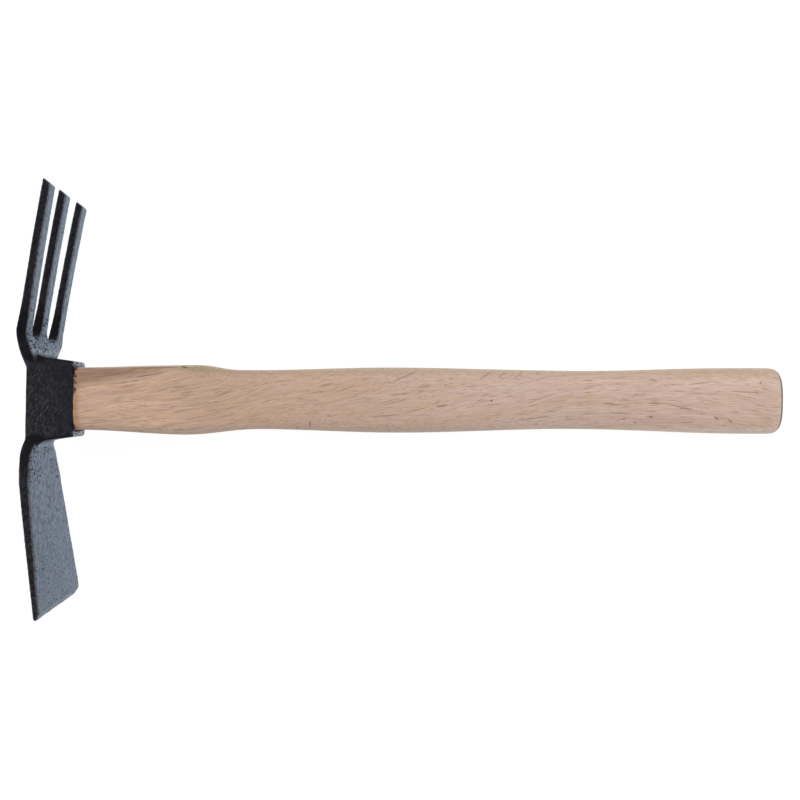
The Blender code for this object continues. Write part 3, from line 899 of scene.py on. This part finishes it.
    # Knots, checks, pores and flecks that have their own places
    marks: tuple[Spot, ...] = (
        Spot(0.0752, 0.0158, 0.0022, 0.0005, -0.25, 0.80),
        Spot(0.1375, -0.0125, 0.0003, 0.0021, 0.0, 0.80),
        Spot(0.1310, -0.0140, 0.0009, 0.0003, 0.3, 0.60),
        Spot(0.2279, -0.0004, 0.0005, 0.0005, 0.0, 0.90),
        Spot(0.2955, -0.0094, 0.0007, 0.0004, 0.3, 0.70),
        Spot(0.3012, -0.0112, 0.0009, 0.0004, -0.4, 0.65),
        Spot(0.3089, -0.0084, 0.0006, 0.0004, 0.1, 0.75),
        Spot(0.3423, -0.0088, 0.0012, 0.0005, -0.5, 0.70),
        Spot(0.3497, -0.0102, 0.0012, 0.0005, -0.6, 0.65),
        Spot(0.3652, 0.0093, 0.0005, 0.0005, 0.0, 0.80),
    )
    flecks: tuple[Spot, ...] = (
        Spot(0.0610, 0.0154, 0.0120, 0.0005, 0.03, 0.85),
        Spot(0.0430, 0.0128, 0.0090, 0.0005, 0.10, 0.50),
        Spot(0.0590, 0.0118, 0.0080, 0.0005, 0.16, 0.50),
        Spot(0.0520, 0.0090, 0.0035, 0.0003, 0.15, 0.60),
        Spot(0.1455, 0.0072, 0.0040, 0.0005, 0.20, 0.60),
        Spot(0.1750, -0.0080, 0.0080, 0.0004, 0.08, 0.50),
        Spot(0.1812, 0.0026, 0.0050, 0.0004, 0.20, 0.50),
        Spot(0.1845, 0.0115, 0.0075, 0.0006, 0.45, 0.50),
        Spot(0.1939, 0.0068, 0.0045, 0.0005, 0.25, 0.50),
        Spot(0.2032, -0.0030, 0.0030, 0.0006, 0.20, 0.70),
        Spot(0.2253, 0.0123, 0.0040, 0.0005, 0.55, 0.55),
        Spot(0.2337, 0.0128, 0.0024, 0.0005, 0.70, 0.50),
        Spot(0.2420, 0.0127, 0.0028, 0.0005, 0.70, 0.50),
        Spot(0.2500, -0.0090, 0.0090, 0.0004, 0.12, 0.50),
        Spot(0.2530, 0.0009, 0.0080, 0.0004, 0.33, 0.45),
        Spot(0.2770, 0.0100, 0.0030, 0.0004, 0.0, 0.50),
        Spot(0.2889, -0.0018, 0.0040, 0.0005, -0.12, 0.60),
        Spot(0.2936, -0.0065, 0.0060, 0.0004, -0.03, 0.60),
        Spot(0.3108, -0.0014, 0.0040, 0.0005, 0.0, 0.70),
        Spot(0.3242, -0.0033, 0.0085, 0.0005, -0.20, 0.60),
        Spot(0.3313, 0.0037, 0.0050, 0.0004, 0.0, 0.50),
        Spot(0.3337, 0.0088, 0.0065, 0.0004, 0.12, 0.60),
        Spot(0.3572, 0.0045, 0.0095, 0.0004, -0.04, 0.60),
    )

    def build(self) -> Material:
        """Builds the material.

        Returns:
            The wood.
        """
        at = Surface("pale_hardwood")
        place = self.leaning(self.wandering(at.place))
        near_head = self.by_the_head(at.along)
        coarse = self.coarse(place)
        fine = self.fine(place)
        ticks = self.ticks(place)
        marks = strongest(mark(at.place) for mark in self.marks)
        flecks = strongest(fleck(at.place) for fleck in self.flecks)
        sapwood = self.sap_facing(at.facing.y).blend(self.sapwood, self.sap_side)
        grey = self.grey_to_pale(at.along).blend(self.grey_side, self.pale_side)
        sawn = self.end_grain(at.place)
        ring, end_face = self.end_face(at)
        colour = self.swell_from(at.along).blend(self.by_head, self.by_swell).under(
            (self.by_butt, self.butt_from(at.along)),
            (self.handled, self.handled_to(at.along)),
            (self.warm_band, self.warm(place) * self.band_strength),
            (self.rosy_band, self.rosy(place) * self.rosy_strength),
            (self.tan_spot, self.tan(place) * self.band_strength),
            (self.heart, self.heartwood(at, coarse)),
            (sapwood, self.sap(at)),
            # painted shade and light on the lower side
            (grey, self.grey_from(at.across) * self.grey_strength(at.along)),
            (self.fibre, coarse * near_head.between(*self.coarse_strength)),
            (self.fibre, fine * near_head.between(*self.fine_strength)),
            (self.fibre, self.lines(at.place) * self.line_strength(at.along)),
            (self.fleck, ticks * self.tick_strength),
            (self.fleck, flecks),
            (self.mark, marks),
            (self.arris, self.pale_arris(at) * coarse.between(1.0, self.arris_on_fibres)),
            (self.fleck, self.pores(at)),
            (sawn, end_face),
            (self.end_ring, ring),
            (self.rubbed, self.fringe(at.along)),
            (self.torn, self.torn_edge(at)),
            (sawn.under((self.torn, self.eye_stain)), self.in_eye(at.along)),
        )
        height = fine * self.fibre_relief + coarse * self.fibre_relief - ticks * self.tick_relief - marks
        values = {"Base Color": colour, "Roughness": ticks.between(*self.roughness)}
        return at.finish(height, self.relief_depth, values)

    def wandering(self, place: Value) -> Value:
        """Bends the grain slowly off the handle's axis.

        Args:
            place: The position.

        Returns:
            The bent position.
        """
        cloud = place.vector("MULTIPLY", self.wander_rate).noise(1.0, 1.0, "Color")
        shift = cloud.vector("SUBTRACT", self.wander_middle).vector("MULTIPLY", self.wander_reach)
        return place.vector("ADD", shift)

    def leaning(self, place: Value) -> Value:
        """Leans the grain towards the tines, most of all in the middle, and fans it out to the swell.

        Args:
            place: The position.

        Returns:
            The leaning position.
        """
        parts = place.parts()
        lift = 0.0
        for rate in reversed(self.lean):
            lift = parts.x * (lift + rate)
        sides = {"X": parts.x, "Y": parts.y * self.fan(parts.x) - lift, "Z": parts.z}
        return place.add("ShaderNodeCombineXYZ", sides)

    def heartwood(self, at: Surface, fibres: Value) -> Value:
        """Mask of the browner wood on the tines' side by the head, above a line that climbs to the swell."""
        above = self.heart_above(at.across - (at.along * self.heart_climb + self.heart_start))
        return self.heart_to(at.along) * above * fibres.between(self.heart_between_fibres, 1.0)

    def sap(self, at: Surface) -> Value:
        """Mask of the greener sapwood along the tines' side, widest past the swell."""
        start = self.sap_start(at.along) + self.sap_narrowing(at.along)
        return Ramp(start, start + self.sap_width)(at.across) * self.sap_strength(at.along)

    def pale_arris(self, at: Surface) -> Value:
        """Mask of the painted highlight on the edge between the near and the tines' side, from the eye to the
        swell.
        """
        band = self.arris_from(at.facing.y) * self.arris_to(at.facing.y)
        return band * self.arris_near(at.facing.z) * self.arris_along(at.along)

    def pores(self, at: Surface) -> Value:
        """Mask of the small dark pores where the fibres run out of the swell."""
        swell = self.pores_from(at.along) * self.pores_to(at.along)
        return self.pore_dots(at.place) * (swell * self.pores_side(at.across))

    def end_face(self, at: Surface) -> tuple[Value, Value]:
        """Masks of the butt's end.

        Args:
            at: The surface.

        Returns:
            The dark end grain and painted shade round its rounded edge, and the end grain inside it.
        """
        faced = at.local.other("Normal").vector("DOT_PRODUCT", AXES.along, "Value")
        at_butt = Ramp(*(AXES.length - reach for reach in self.butt_reach))(at.along)
        inside = self.end_facing(faced) * at_butt
        return (self.ring_facing(faced) * at_butt - inside).clamped(), inside

    def end_grain(self, place: Value) -> Value:
        """Colour of the sawn ends: growth rings about a pith outside the stick, and dark pores.

        Args:
            place: The position.

        Returns:
            The colour.
        """
        rings = self.growth_rings(place.mapped(Location=self.pith), wave_type="RINGS", rings_direction="X")
        colour = (rings * self.growth_strength).blend(self.sawn_end, self.late_ring)
        return colour.under((self.late_ring, self.end_pores(place) * self.end_pore_strength))

    def torn_edge(self, at: Surface) -> Value:
        """Mask of the dark torn fibres and painted shadow where the handle meets the eye, longest on the
        tines' side.
        """
        reach = self.tears(at.place) * self.tear_length(at.across) + self.tear_start(at.across)
        return self.tear_end(at.along - reach)


@dataclass(frozen=True)
class SplitWedgeWood:
    """Sawn and hammered end grain of the wooden wedge."""

    base: Colour = (0.40, 0.235, 0.125)
    dark: Colour = (0.20, 0.11, 0.06)
    grain: Streaks = Streaks(0.02, 0.0005, 0.35, 0.7)
    grain_strength: float = 0.5
    stains: Mottle = Mottle(0.004, 0.45, 0.7)
    stain_strength: float = 0.3
    roughness: float = 0.72
    relief_depth: float = 0.0001

    def build(self) -> Material:
        """Builds the material.

        Returns:
            The wedge's wood.
        """
        at = Surface("split_wedge_wood")
        grain = self.grain(at.place)
        tone = grain * self.grain_strength + self.stains(at.place) * self.stain_strength
        values = {"Base Color": tone.blend(self.base, self.dark), "Roughness": self.roughness}
        return at.finish(grain, self.relief_depth, values)


@dataclass(frozen=True)
class HammeredSteel:
    """Plain steel with hammer dents and a little rust."""

    base: Colour = (0.36, 0.35, 0.34)
    rust: Colour = (0.16, 0.075, 0.035)
    rust_strength: float = 0.75
    rust_metal: float = 0.3
    roughness: Pair = (0.42, 0.8)
    scratches: Streaks = Streaks(0.006, 0.0002, 0.4, 0.65)
    scratch_relief: float = 0.2
    stains: Mottle = Mottle(0.0022, 0.52, 0.7)
    dents: Specks = Specks(0.002, 0.0009, 0.6)
    dent_relief: float = 0.6
    relief_depth: float = 0.00012

    def build(self) -> Material:
        """Builds the material.

        Returns:
            The steel.
        """
        at = Surface("hammered_steel")
        stains = self.stains(at.place)
        values = {
            "Base Color": (stains * self.rust_strength).blend(self.base, self.rust),
            "Metallic": stains.between(1.0, self.rust_metal),
            "Roughness": stains.between(*self.roughness),
        }
        height = self.scratches(at.place) * self.scratch_relief - self.dents(at.place) * self.dent_relief
        return at.finish(height, self.relief_depth, values)


def merged_copy(piece: Piece) -> bmesh.types.BMesh:
    """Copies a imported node's mesh and merges its loose triangles.

    Args:
        piece: The piece whose node is copied.

    Returns:
        The copy.
    """
    bm = bmesh.new()
    bm.from_mesh(frame["nodes"][piece.node].data)
    bmesh.ops.remove_doubles(bm, verts=bm.verts, dist=MERGE_DISTANCE)
    return bm


def new_object(name: str, bm: bmesh.types.BMesh) -> bpy.types.Object:
    """Makes an object at the origin.

    Args:
        name: The object's name.
        bm: Its mesh, which is freed.

    Returns:
        The object.
    """
    mesh = bpy.data.meshes.new(name)
    bm.to_mesh(mesh)
    bm.free()
    made = bpy.data.objects.new(name, mesh)
    bpy.context.scene.collection.objects.link(made)
    return made


def apply_modifiers(made: bpy.types.Object) -> None:
    """Turns an object's modifiers into its mesh.

    Args:
        made: The object.
    """
    graph = bpy.context.evaluated_depsgraph_get()
    plain = made.data
    made.data = bpy.data.meshes.new_from_object(made.evaluated_get(graph))
    made.modifiers.clear()
    bpy.data.meshes.remove(plain)


@contextmanager
def reworked(made: bpy.types.Object) -> Iterator[bmesh.types.BMesh]:
    """Opens an object's mesh for a change, and puts it back afterwards.

    Args:
        made: The object.

    Yields:
        Its mesh.
    """
    bm = bmesh.new()
    bm.from_mesh(made.data)
    yield bm
    bm.to_mesh(made.data)
    bm.free()


def smooth(bm: bmesh.types.BMesh, verts: Iterable[bmesh.types.BMVert]) -> None:
    """Draws each of some points half way to the middle of its neighbours."""
    bmesh.ops.smooth_vert(
        bm, verts=verts, factor=SMOOTHING_FACTOR, use_axis_x=True, use_axis_y=True, use_axis_z=True
    )


def reshape(made: bpy.types.Object, passes: int, shift: Callable[[Vector], float]) -> None:
    """Smooths an object's mesh, then moves each point along its normal.

    Args:
        made: The object.
        passes: How often the mesh is smoothed first.
        shift: Gives the move, in metres, for a point in the tool's own axes.
    """
    with reworked(made) as bm:
        for _ in range(passes):
            smooth(bm, bm.verts)
        bm.normal_update()
        moves = [vertex.normal * shift(AXES.to_tool(vertex.co)) for vertex in bm.verts]
        for vertex, move in zip(bm.verts, moves):
            vertex.co += move


def stretched_noise(point: Vector, along: float, across: float, seed: float) -> float:
    """Smooth noise from about -1 to 1, whose lumps are along by across metres."""
    return noise.noise(Vector((point.x / along, point.y / across, point.z / across + seed)))


def dress(made: bpy.types.Object, material: Material, piece: Piece) -> None:
    """Gives a finished object its material and its body, and hides the imported node that it stands for.

    Args:
        made: The object.
        material: Its finish.
        piece: The piece that it shows.
    """
    made.data.materials.clear()
    made.data.materials.append(material)
    made.data.shade_smooth()
    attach(made, BODY)
    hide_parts(piece.node)
    LOG.info("%s: %d faces, %s", made.name, len(made.data.polygons), material.name)


@dataclass
class ForgedHead:
    """The eye, blade and tines: one forging with soft corners and an uneven, pitted skin."""

    grain_size: float = 0.00054
    smoothing_passes: int = 1
    wave_size: float = 0.013
    wave_depth: float = 0.00012
    wave_seed: float = 3.0
    lump_size: float = 0.0032
    lump_depth: float = 0.00003
    lump_seed: float = 11.0
    skin_inset: float = 0.00004
    joint_along: float = 0.0062
    joint_across: float = 0.0215
    joint_reach: float = 0.0055
    joint_passes: int = 24
    joint_narrowing: float = 0.5

    def build(self) -> bpy.types.Object:
        """Builds and dresses the head.

        Returns:
            The head.
        """
        made = new_object("black_head", merged_copy(Piece.FORGED_HEAD))
        remesh = made.modifiers.new("even_skin", "REMESH")
        remesh.mode = "VOXEL"
        remesh.voxel_size = self.grain_size
        apply_modifiers(made)
        self.soften_joints(made)
        reshape(made, self.smoothing_passes, self.skin)
        dress(made, BlackForgingPaint().build(), Piece.FORGED_HEAD)
        return made

    def soften_joints(self, made: bpy.types.Object) -> None:
        """Blends the eye into the blade and the palm, most of all at the joint itself.

        Args:
            made: The head.
        """
        with reworked(made) as bm:
            for turn in range(self.joint_passes):
                reach = self.joint_reach * (1.0 - self.joint_narrowing * turn / self.joint_passes)
                smooth(bm, [vertex for vertex in bm.verts if self.from_joint(vertex) < reach])

    def from_joint(self, vertex: bmesh.types.BMVert) -> float:
        """Distance of a point from the line where the eye meets the blade or the palm."""
        point = AXES.to_tool(vertex.co)
        return math.hypot(point.x - self.joint_along, abs(point.y) - self.joint_across)

    def skin(self, point: Vector) -> float:
        """Height of the forging's waves and lumps at a point.

        Args:
            point: The point, in the tool's own axes.

        Returns:
            The height.
        """
        wave = stretched_noise(point, self.wave_size, self.wave_size, self.wave_seed)
        lump = stretched_noise(point, self.lump_size, self.lump_size, self.lump_seed)
        return self.wave_depth * wave + self.lump_depth * lump - self.skin_inset


@dataclass
class HardwoodHandle:
    """The stick: its tenon, shoulder, swell, belly and butt, sanded by hand."""

    flat_angle: float = math.radians(25)
    skew_angle: float = math.radians(70)
    crease_angle: float = math.radians(35)
    levels: int = 2
    wave_length: float = 0.045
    wave_width: float = 0.012
    wave_depth: float = 0.00016
    wave_seed: float = 7.0
    sanded_from: float = SHOULDER + 0.001
    crest_side: float = 0.009
    crest_edge: float = 0.004
    crest_at: float = 0.0850
    crest_length: float = 0.0065
    crest_height: float = 0.00045
    hollow_at: float = 0.0985
    hollow_depth: float = 0.00035
    shoulder_half_height: float = 0.01565
    shoulder_half_depth: float = 0.0096
    shoulder_rim: float = 0.93
    shoulder_span: Pair = (SHOULDER - 0.0002, SHOULDER + 0.0012)
    overhang: float = 0.0005

    def build(self) -> bpy.types.Object:
        """Builds and dresses the handle.

        Returns:
            The handle.
        """
        bm = merged_copy(Piece.HANDLE)
        bmesh.ops.join_triangles(
            bm, faces=bm.faces, angle_face_threshold=self.flat_angle, angle_shape_threshold=self.skew_angle
        )
        crease = bm.edges.layers.float.new("crease_edge")
        for edge in bm.edges:
            if edge.is_manifold and edge.calc_face_angle() > self.crease_angle:
                edge[crease] = 1.0
        made = new_object("hardwood_handle", bm)
        rounding = made.modifiers.new("fair_curve", "SUBSURF")
        rounding.levels = rounding.render_levels = self.levels
        apply_modifiers(made)
        self.spread_shoulder(made)
        reshape(made, 0, self.sanding)
        dress(made, PaleHardwood().build(), Piece.HANDLE)
        made.data.set_sharp_from_angle(angle=self.crease_angle)
        return made

    def spread_shoulder(self, made: bpy.types.Object) -> None:
        """Draws the shoulder's outer fibres a little over the rounded edge of the eye's mouth.

        Args:
            made: The handle.
        """
        start, end = self.shoulder_span
        for vertex in made.data.vertices:
            point = AXES.to_tool(vertex.co)
            outward = max(abs(point.y) / self.shoulder_half_height, abs(point.z) / self.shoulder_half_depth)
            if outward > self.shoulder_rim and start < point.x < end:
                vertex.co -= AXES.along * self.overhang

    def sanding(self, point: Vector) -> float:
        """Height of the sanding's waves, which leave the tenon in the eye alone.

        Args:
            point: The point, in the tool's own axes.

        Returns:
            The height, with the crest and the hollow on the tines' side of the swell.
        """
        if point.x < self.sanded_from:
            return 0.0
        wave = self.wave_depth * stretched_noise(point, self.wave_length, self.wave_width, self.wave_seed)
        if point.y < self.crest_side:
            return wave
        before = math.exp(-(((point.x - self.crest_at) / self.crest_length) ** 2))
        past = math.exp(-(((point.x - self.hollow_at) / self.crest_length) ** 2))
        side = min((point.y - self.crest_side) / self.crest_edge, 1.0)
        return wave + side * (self.crest_height * before - self.hollow_depth * past)


@dataclass
class Wedge:
    """A wedge in the tenon's end, its edges broken by the hammer."""

    piece: Piece
    finish: SplitWedgeWood | HammeredSteel
    flat_angle: float = math.radians(1)
    sharp_angle: float = math.radians(50)
    edge_rounding: float = 0.00022
    edge_segments: int = 2
    dent_size: float = 0.0016
    dent_depth: float = 0.00005
    dent_seed: float = 5.0
    cuts: int = 5

    def build(self) -> bpy.types.Object:
        """Builds and dresses the wedge.

        Returns:
            The wedge.
        """
        bm = merged_copy(self.piece)
        bmesh.ops.dissolve_limit(bm, angle_limit=self.flat_angle, verts=bm.verts, edges=bm.edges)
        bmesh.ops.bevel(
            bm,
            geom=bm.edges,
            offset=self.edge_rounding,
            segments=self.edge_segments,
            affect="EDGES",
            profile=ROUND_PROFILE,
            material=ANY_MATERIAL,
        )
        bmesh.ops.triangulate(bm, faces=bm.faces)
        bmesh.ops.subdivide_edges(bm, edges=bm.edges, cuts=self.cuts, use_grid_fill=True)
        made = new_object(self.piece.node + "_dressed", bm)
        reshape(made, 0, self.dents)
        dress(made, self.finish.build(), self.piece)
        made.data.set_sharp_from_angle(angle=self.sharp_angle)
        return made

    def dents(self, point: Vector) -> float:
        """Depth of the hammer's dents at a point, always inwards."""
        return -self.dent_depth * abs(stretched_noise(point, self.dent_size, self.dent_size, self.dent_seed))


def seen_directly(tree: Tree) -> Value:
    """Share that is 1 for camera, mirror and glass rays, and 0 for the light that falls on the tool."""
    camera = add_node(tree, "ShaderNodeLightPath", {}, "Is Camera Ray")
    return strongest([camera, camera.other("Is Glossy Ray"), camera.other("Is Transmission Ray")])


@dataclass
class Studio:
    """White floor, soft light from above, and the camera over the tool."""

    camera_place: Triple = (-0.004736, -0.000052, 0.46935)
    camera_turn: Triple = (-0.0115, 0.1594, 0.1981)
    lens: float = 39.6
    floor_side: float = 6.0
    floor_gap: float = 0.0003
    floor_glow: float = 0.95
    floor_shadow: Colour = (0.10, 0.10, 0.10)
    floor_bounce: Colour = (0.8, 0.8, 0.8)
    ambient: float = 0.98
    ceiling: Ramp = Ramp(0.35, 0.85, 1.0, 0.40)
    lamp_side: float = 1.2
    lamp_place: Triple = (0.80, 0.50, 1.10)
    lamp_power: float = 11.0

    def build(self) -> None:
        """Builds the floor, the world, the lamp and the camera."""
        self.build_floor()
        self.build_world()
        self.build_lamp()
        self.build_camera()
        bpy.context.scene.view_settings.view_transform = "Standard"

    def build_floor(self) -> None:
        """Lays a plain white floor just under the tool."""
        bm = bmesh.new()
        bmesh.ops.create_grid(bm, x_segments=1, y_segments=1, size=self.floor_side / 2)
        bmesh.ops.translate(bm, verts=bm.verts, vec=(0.0, 0.0, -self.floor_gap))
        floor = new_object("floor", bm)
        floor.data.materials.append(self.floor_material())

    def floor_material(self) -> Material:
        """Makes the floor white where it is seen, with a faint shadow, and pale where it lights the tool.

        Returns:
            The floor's material.
        """
        material = new_material("white_floor")
        tree = material.node_tree
        tree.nodes.remove(tree.nodes["Principled BSDF"])
        glow = add_node(tree, "ShaderNodeEmission", {"Color": WHITE, "Strength": self.floor_glow})
        thin = add_node(tree, "ShaderNodeBsdfDiffuse", {"Color": self.floor_shadow})
        seen = add_node(tree, "ShaderNodeAddShader", {0: glow, 1: thin})
        bounce = add_node(tree, "ShaderNodeBsdfDiffuse", {"Color": self.floor_bounce})
        shown = add_node(tree, "ShaderNodeMixShader", {0: seen_directly(tree), 1: bounce, 2: seen})
        feed(tree.nodes["Material Output"].inputs["Surface"], shown)
        return material

    def build_world(self) -> None:
        """Builds white walls all round and a dimmer ceiling, both less bright for the light on the tool."""
        world = bpy.data.worlds.new("white_surroundings")
        world.use_nodes = True
        height = add_node(world.node_tree, "ShaderNodeTexCoord", {}, "Generated").parts().z
        share = seen_directly(world.node_tree).between(self.ambient, 1.0)
        background = world.node_tree.nodes["Background"].inputs
        feed(background["Color"], WHITE)
        feed(background["Strength"], self.ceiling(height) * share)
        bpy.context.scene.world = world

    def build_lamp(self) -> None:
        """Hangs one large soft lamp over the head, turned to the tool."""
        lamp = bpy.data.lights.new("soft_lamp", "AREA")
        lamp.size = self.lamp_side
        lamp.energy = self.lamp_power
        hung = bpy.data.objects.new("soft_lamp", lamp)
        hung.location = self.lamp_place
        hung.rotation_euler = (-Vector(self.lamp_place)).to_track_quat("-Z", "Y").to_euler()
        bpy.context.scene.collection.objects.link(hung)

    def build_camera(self) -> None:
        """Sets the camera over the tool."""
        camera = bpy.data.objects.new("camera", bpy.data.cameras.new("camera"))
        camera.data.lens = self.lens
        camera.location = self.camera_place
        camera.rotation_euler = [math.radians(angle) for angle in self.camera_turn]
        bpy.context.scene.collection.objects.link(camera)
        bpy.context.scene.camera = camera


def main() -> None:
    """Builds the tool's pieces and the studio, in order."""
    logging.basicConfig(level=logging.INFO, format="%(message)s")
    Studio().build()
    steel = HammeredSteel()
    parts = [
        ForgedHead(),
        HardwoodHandle(),
        Wedge(Piece.WOOD_WEDGE, SplitWedgeWood()),
        Wedge(Piece.STEEL_WEDGE_UPPER, steel),
        Wedge(Piece.STEEL_WEDGE_LOWER, steel),
    ]
    for part in parts:
        part.build()


if __name__ == "__main__":
    main()
